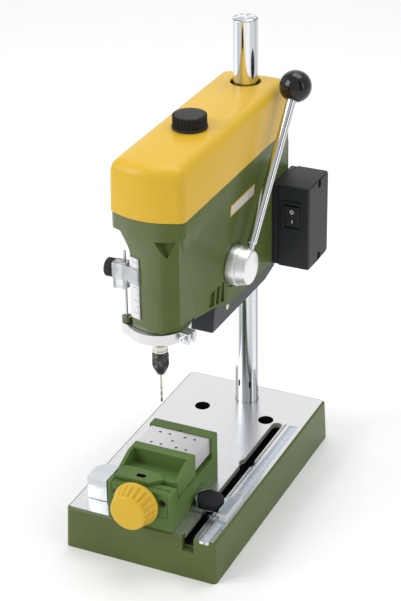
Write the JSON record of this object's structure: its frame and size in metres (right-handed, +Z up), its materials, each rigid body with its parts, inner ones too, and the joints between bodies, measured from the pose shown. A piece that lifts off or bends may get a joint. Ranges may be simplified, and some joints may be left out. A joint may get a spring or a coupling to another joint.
{
  "type": "bench drill",
  "caption": "Bench drill with a belt-driven head on a round column, feed lever and depth stop, over a slotted table that carries a fence and a small screw vise.",
  "frame": {"origin": "centre of the base's sole", "axes": "+Z up along the column, -Y towards the operator, +X to the feed lever's side"},
  "size_m": [0.1254, 0.2476, 0.3655],
  "materials": {
    "cast_green": "semi-gloss paint over a casting, ground bright on the table",
    "cover_yellow": "satin moulded",
    "chrome": "polished",
    "bright_steel": "ground and turned",
    "turned_aluminium": "fine turned",
    "black_plastic": "fine grain",
    "gloss_black": "polished",
    "dark_steel": "blackened",
    "clear_plastic": "clear",
    "belt": "matt",
    "brass_screw": "plated"
  },
  "bodies": {
    "base": {"base_casting": "cast_green", "column": "chrome", "column_set_screw": "dark_steel", "ruler_strip": "turned_aluminium"},
    "fence": {"fence_bar": "chrome", "fence_cursor": "clear_plastic", "fence_tbolt": "bright_steel"},
    "fence_clamp": {"fence_knob": "black_plastic"},
    "vise": {"vise_body": "cast_green", "vise_front_plate": "cast_green", "vise_plate_screw_left": "dark_steel", "vise_plate_screw_right": "dark_steel", "work_block": "turned_aluminium"},
    "jaw": {"vise_jaw": "cast_green"},
    "vise_screw": {"vise_spindle": "bright_steel", "vise_knob": "cover_yellow"},
    "head": {"head_housing": "cast_green", "head_clamp_screw": "dark_steel", "under_cover": "black_plastic", "under_cover_screw": "brass_screw", "motor_can": "dark_steel", "motor_flange": "turned_aluminium", "drive_belt": "belt", "depth_scale": "turned_aluminium", "cover_stud": "bright_steel", "switch_base": "black_plastic", "switch_cover": "black_plastic", "switch_screw_lower": "dark_steel", "switch_screw_upper": "dark_steel", "rocker_frame": "black_plastic"},
    "motor_rotor": {"motor_shaft": "bright_steel", "motor_pulley": "turned_aluminium"},
    "driven_pulley": {"spindle_pulley": "turned_aluminium"},
    "cover": {"head_cover": "cover_yellow"},
    "cover_screw": {"cover_knob": "black_plastic"},
    "quill_unit": {"quill": "bright_steel", "bearing_lower": "bright_steel", "bearing_upper": "bright_steel", "clamp_ring": "turned_aluminium", "ring_screw": "bright_steel", "ring_nut": "bright_steel", "stop_rod": "bright_steel"},
    "spindle_unit": {"spindle": "bright_steel", "chuck_body": "dark_steel", "chuck_nose": "dark_steel", "drill_bit": "bright_steel"},
    "stop": {"stop_block": "clear_plastic", "stop_pointer": "clear_plastic"},
    "stop_screw": {"stop_knob": "black_plastic"},
    "feed_lever": {"feed_shaft": "bright_steel", "feed_arm": "dark_steel", "lever_hub": "turned_aluminium", "lever_rod": "chrome", "lever_ball": "gloss_black"},
    "rocker_switch": {"rocker": "black_plastic"}
  },
  "joints": [
    {"name": "head_height", "type": "slide", "parent": "base", "child": "head", "axis": [0, 0, 1], "range_m": [-0.038, 0.045]},
    {"name": "feed_lever_turn", "type": "hinge", "parent": "head", "child": "feed_lever", "pos_m": [0, 0.004, 0.2041], "axis": [1, 0, 0], "range_deg": [0, 21.6], "stiffness_Nm_per_rad": 0.5, "springref_deg": -91.67},
    {"name": "quill_feed", "type": "slide", "parent": "head", "child": "quill_unit", "axis": [0, 0, -1], "range_m": [0, 0.022]},
    {"name": "spindle_spin", "type": "hinge", "parent": "quill_unit", "child": "spindle_unit", "pos_m": [0, -0.0673, 0.15], "axis": [0, 0, 1], "continuous": true},
    {"name": "driven_pulley_spin", "type": "hinge", "parent": "head", "child": "driven_pulley", "pos_m": [0, -0.0673, 0.286], "axis": [0, 0, 1], "continuous": true},
    {"name": "motor_spin", "type": "hinge", "parent": "head", "child": "motor_rotor", "pos_m": [0, 0.0435, 0.286], "axis": [0, 0, 1], "continuous": true},
    {"name": "cover_lift", "type": "slide", "parent": "head", "child": "cover", "axis": [0, 0, 1], "range_m": [0, 0.04]},
    {"name": "cover_knob_turn", "type": "hinge", "parent": "cover", "child": "cover_screw", "pos_m": [0, -0.01, 0.32], "axis": [0, 0, 1], "continuous": true},
    {"name": "stop_height", "type": "slide", "parent": "quill_unit", "child": "stop", "axis": [0, 0, 1], "range_m": [-0.018, 0.009]},
    {"name": "stop_knob_turn", "type": "hinge", "parent": "stop", "child": "stop_screw", "pos_m": [-0.03, -0.0775, 0.2284], "axis": [1, 0, 0], "continuous": true},
    {"name": "switch_rocker", "type": "hinge", "parent": "head", "child": "rocker_switch", "pos_m": [0.0442, 0.0769, 0.2147], "axis": [1, 0, 0], "range_deg": [-10, 0]},
    {"name": "fence_travel", "type": "slide", "parent": "base", "child": "fence", "axis": [0, 1, 0], "range_m": [-0.02, 0.08]},
    {"name": "fence_knob_turn", "type": "hinge", "parent": "fence", "child": "fence_clamp", "pos_m": [0.0393, -0.0687, 0.042], "axis": [0, 0, 1], "continuous": true},
    {"name": "vise_shift", "type": "slide", "parent": "fence", "child": "vise", "axis": [1, 0, 0], "range_m": [-0.009, 0]},
    {"name": "vise_screw_turn", "type": "hinge", "parent": "vise", "child": "vise_screw", "pos_m": [0.0006, -0.11, 0.0576], "axis": [0, -1, 0], "range_deg": [0, 866]},
    {"name": "jaw_travel", "type": "slide", "parent": "vise", "child": "jaw", "axis": [0, -1, 0], "range_m": [0, 0.003]}
  ],
  "couplings": [
    {"joint": "quill_feed", "follows": "feed_lever_turn", "m_per_rad": 0.0582},
    {"joint": "driven_pulley_spin", "follows": "spindle_spin", "ratio": 1},
    {"joint": "motor_spin", "follows": "spindle_spin", "ratio": 1.3889},
    {"joint": "vise_screw_turn", "follows": "jaw_travel", "rad_per_m": 5026.5}
  ]
}
